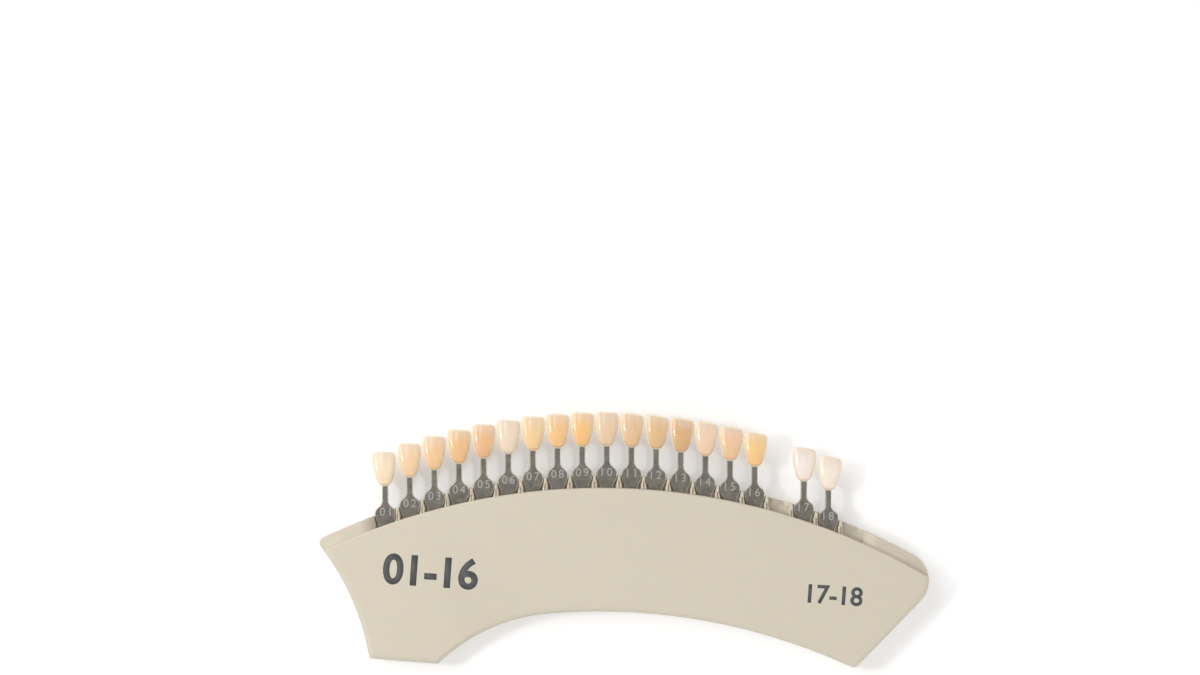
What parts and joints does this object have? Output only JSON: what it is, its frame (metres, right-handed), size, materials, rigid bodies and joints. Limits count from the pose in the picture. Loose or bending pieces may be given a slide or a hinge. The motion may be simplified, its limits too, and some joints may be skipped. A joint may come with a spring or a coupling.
{
  "type": "dental shade guide",
  "caption": "Arched two-shell plastic holder with a row of parallel slots, holding pull-out shade tabs: resin incisor crowns on stamped steel handles.",
  "frame": {"origin": "centre of the bounding box in X and Y, on the plane of the back that it lies on", "axes": "+X along the row of tabs, +Y the way the tabs pull out, +Z out of the front plate"},
  "size_m": [0.2044, 0.0856, 0.0105],
  "materials": {
    "holder": "fine matt moulded surface",
    "handle": "tumbled grey steel",
    "shade_01": "polished layered resin",
    "shade_02": "polished layered resin",
    "shade_03": "polished layered resin",
    "shade_04": "polished layered resin",
    "shade_05": "polished layered resin",
    "shade_06": "polished layered resin",
    "shade_07": "polished layered resin",
    "shade_08": "polished layered resin",
    "shade_09": "polished layered resin",
    "shade_10": "polished layered resin",
    "shade_11": "polished layered resin",
    "shade_12": "polished layered resin",
    "shade_13": "polished layered resin",
    "shade_14": "polished layered resin",
    "shade_15": "polished layered resin",
    "shade_16": "polished layered resin",
    "shade_17": "polished layered resin",
    "shade_18": "polished layered resin"
  },
  "bodies": {
    "holder": {"back_shell": "holder", "front_plate": "holder"},
    "tab_01": {"handle_01": "handle", "tooth_01": "shade_01"},
    "tab_02": {"handle_02": "handle", "tooth_02": "shade_02"},
    "tab_03": {"handle_03": "handle", "tooth_03": "shade_03"},
    "tab_04": {"handle_04": "handle", "tooth_04": "shade_04"},
    "tab_05": {"handle_05": "handle", "tooth_05": "shade_05"},
    "tab_06": {"handle_06": "handle", "tooth_06": "shade_06"},
    "tab_07": {"handle_07": "handle", "tooth_07": "shade_07"},
    "tab_08": {"handle_08": "handle", "tooth_08": "shade_08"},
    "tab_09": {"handle_09": "handle", "tooth_09": "shade_09"},
    "tab_10": {"handle_10": "handle", "tooth_10": "shade_10"},
    "tab_11": {"handle_11": "handle", "tooth_11": "shade_11"},
    "tab_12": {"handle_12": "handle", "tooth_12": "shade_12"},
    "tab_13": {"handle_13": "handle", "tooth_13": "shade_13"},
    "tab_14": {"handle_14": "handle", "tooth_14": "shade_14"},
    "tab_15": {"handle_15": "handle", "tooth_15": "shade_15"},
    "tab_16": {"handle_16": "handle", "tooth_16": "shade_16"},
    "tab_17": {"handle_17": "handle", "tooth_17": "shade_17"},
    "tab_18": {"handle_18": "handle", "tooth_18": "shade_18"}
  },
  "joints": [
    {"name": "tab_01_pull", "type": "slide", "parent": "holder", "child": "tab_01", "axis": [0, 1, 0], "range_m": [0, 0.023]},
    {"name": "tab_02_pull", "type": "slide", "parent": "holder", "child": "tab_02", "axis": [0, 1, 0], "range_m": [0, 0.023]},
    {"name": "tab_03_pull", "type": "slide", "parent": "holder", "child": "tab_03", "axis": [0, 1, 0], "range_m": [0, 0.023]},
    {"name": "tab_04_pull", "type": "slide", "parent": "holder", "child": "tab_04", "axis": [0, 1, 0], "range_m": [0, 0.023]},
    {"name": "tab_05_pull", "type": "slide", "parent": "holder", "child": "tab_05", "axis": [0, 1, 0], "range_m": [0, 0.023]},
    {"name": "tab_06_pull", "type": "slide", "parent": "holder", "child": "tab_06", "axis": [0, 1, 0], "range_m": [0, 0.023]},
    {"name": "tab_07_pull", "type": "slide", "parent": "holder", "child": "tab_07", "axis": [0, 1, 0], "range_m": [0, 0.023]},
    {"name": "tab_08_pull", "type": "slide", "parent": "holder", "child": "tab_08", "axis": [0, 1, 0], "range_m": [0, 0.023]},
    {"name": "tab_09_pull", "type": "slide", "parent": "holder", "child": "tab_09", "axis": [0, 1, 0], "range_m": [0, 0.023]},
    {"name": "tab_10_pull", "type": "slide", "parent": "holder", "child": "tab_10", "axis": [0, 1, 0], "range_m": [0, 0.023]},
    {"name": "tab_11_pull", "type": "slide", "parent": "holder", "child": "tab_11", "axis": [0, 1, 0], "range_m": [0, 0.023]},
    {"name": "tab_12_pull", "type": "slide", "parent": "holder", "child": "tab_12", "axis": [0, 1, 0], "range_m": [0, 0.023]},
    {"name": "tab_13_pull", "type": "slide", "parent": "holder", "child": "tab_13", "axis": [0, 1, 0], "range_m": [0, 0.023]},
    {"name": "tab_14_pull", "type": "slide", "parent": "holder", "child": "tab_14", "axis": [0, 1, 0], "range_m": [0, 0.023]},
    {"name": "tab_15_pull", "type": "slide", "parent": "holder", "child": "tab_15", "axis": [0, 1, 0], "range_m": [0, 0.023]},
    {"name": "tab_16_pull", "type": "slide", "parent": "holder", "child": "tab_16", "axis": [0, 1, 0], "range_m": [0, 0.023]},
    {"name": "tab_17_pull", "type": "slide", "parent": "holder", "child": "tab_17", "axis": [0, 1, 0], "range_m": [0, 0.023]},
    {"name": "tab_18_pull", "type": "slide", "parent": "holder", "child": "tab_18", "axis": [0, 1, 0], "range_m": [0, 0.023]}
  ]
}
